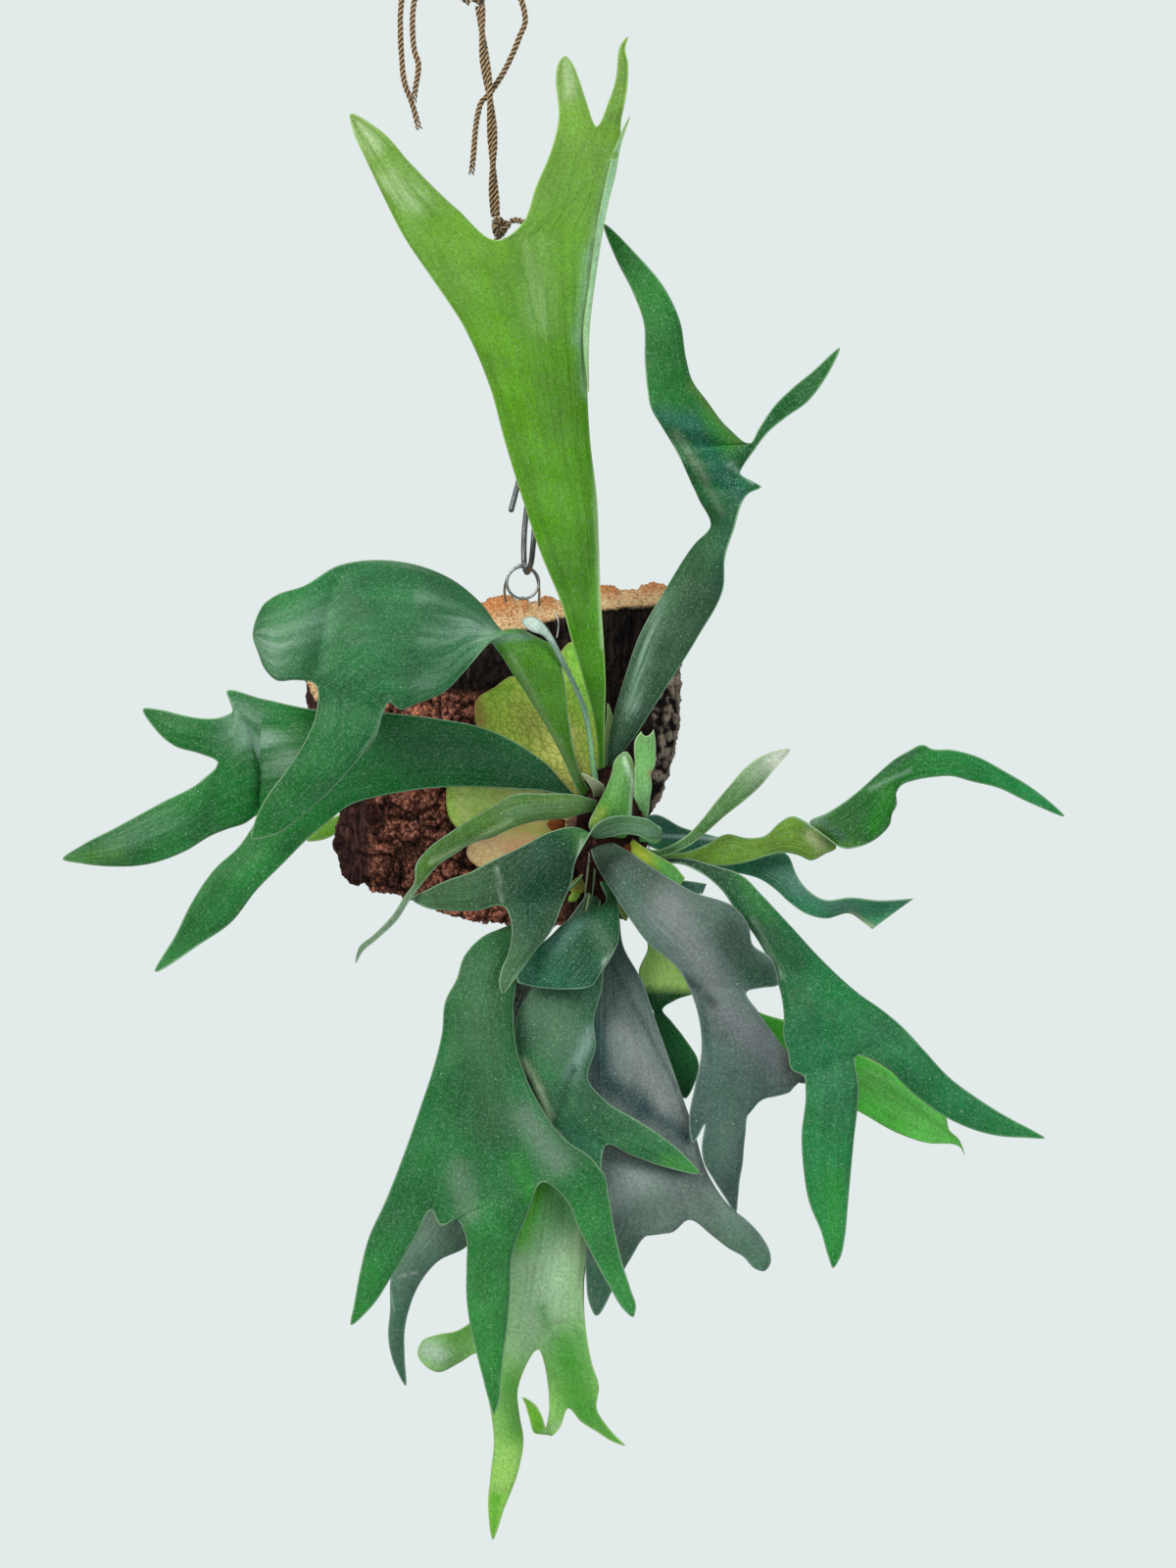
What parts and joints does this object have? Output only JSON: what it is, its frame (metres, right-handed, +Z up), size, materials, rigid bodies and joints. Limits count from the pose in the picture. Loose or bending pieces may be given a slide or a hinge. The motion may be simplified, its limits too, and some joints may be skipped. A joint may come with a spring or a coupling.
{
  "type": "staghorn fern on a cork bark mount",
  "caption": "Staghorn fern with forked, arching fronds and flat shield fronds, growing from a slab of cork bark that hangs from jute twine by a wire hook and ring.",
  "frame": {"origin": "inside of the top of the hanging loop in the twine, where it bears on a ceiling hook", "axes": "+Z up, +X to the right as seen from the front, the fronds reach forward along -Y and the bark slab is at the back"},
  "size_m": [0.4457, 0.1337, 0.724],
  "materials": {
    "cork_bark": "rough, fissured cork bark with a fresh tan cut edge",
    "root_felt": "dense brown root felt",
    "steel_wire": "dull galvanised wire",
    "nylon_line": "clear nylon line",
    "jute_twine": "laid jute twine with loose hairs",
    "frond_dark": "dark green leathery frond with fine white star hairs",
    "frond_grey": "grey-green leathery frond with a pale bloom",
    "frond_bright": "bright green young frond, faintly glossy",
    "frond_young": "pale green new growth with white down",
    "shield_green": "yellow-green shield frond with dark net veins",
    "shield_dried": "papery dried shield frond"
  },
  "bodies": {
    "root": {"cork_slab": "cork_bark", "crown": "root_felt", "staple": "steel_wire", "ring": "steel_wire", "s_hook": "steel_wire", "wire_tie": "nylon_line", "twine_main": "jute_twine", "twine_to_hook": "jute_twine", "twine_stub": "jute_twine", "twine_right": "jute_twine", "twine_loop": "jute_twine", "twine_tail_long": "jute_twine", "twine_tail_short": "jute_twine", "knot_lower": "jute_twine", "knot_top": "jute_twine", "frond_upper_right": "frond_dark", "frond_folded_left": "frond_dark", "frond_long_left": "frond_dark", "frond_tailed_left": "frond_dark", "frond_arched": "frond_dark", "frond_big_lower_left": "frond_dark", "frond_front_flap": "frond_dark", "frond_middle": "frond_dark", "frond_bent_back": "frond_dark", "frond_big_right": "frond_dark", "frond_wavy_right": "frond_dark", "frond_twisted_right": "frond_dark", "frond_stub_right": "frond_dark", "frond_grey_right": "frond_grey", "frond_purple_front": "frond_grey", "frond_grey_back_left": "frond_grey", "frond_thread": "frond_grey", "frond_top": "frond_bright", "frond_bottom": "frond_bright", "frond_light_back_right": "frond_bright", "frond_short_green": "frond_bright", "frond_young_upright": "frond_young", "frond_young_toothed": "frond_young", "frond_young_right": "frond_young", "frond_sliver": "frond_young", "leaf_back": "frond_young", "shield_upper_left": "shield_green", "shield_top": "shield_green", "shield_left": "shield_green", "shield_dried": "shield_dried", "frond_dry_curl": "shield_dried"}
  },
  "joints": []
}
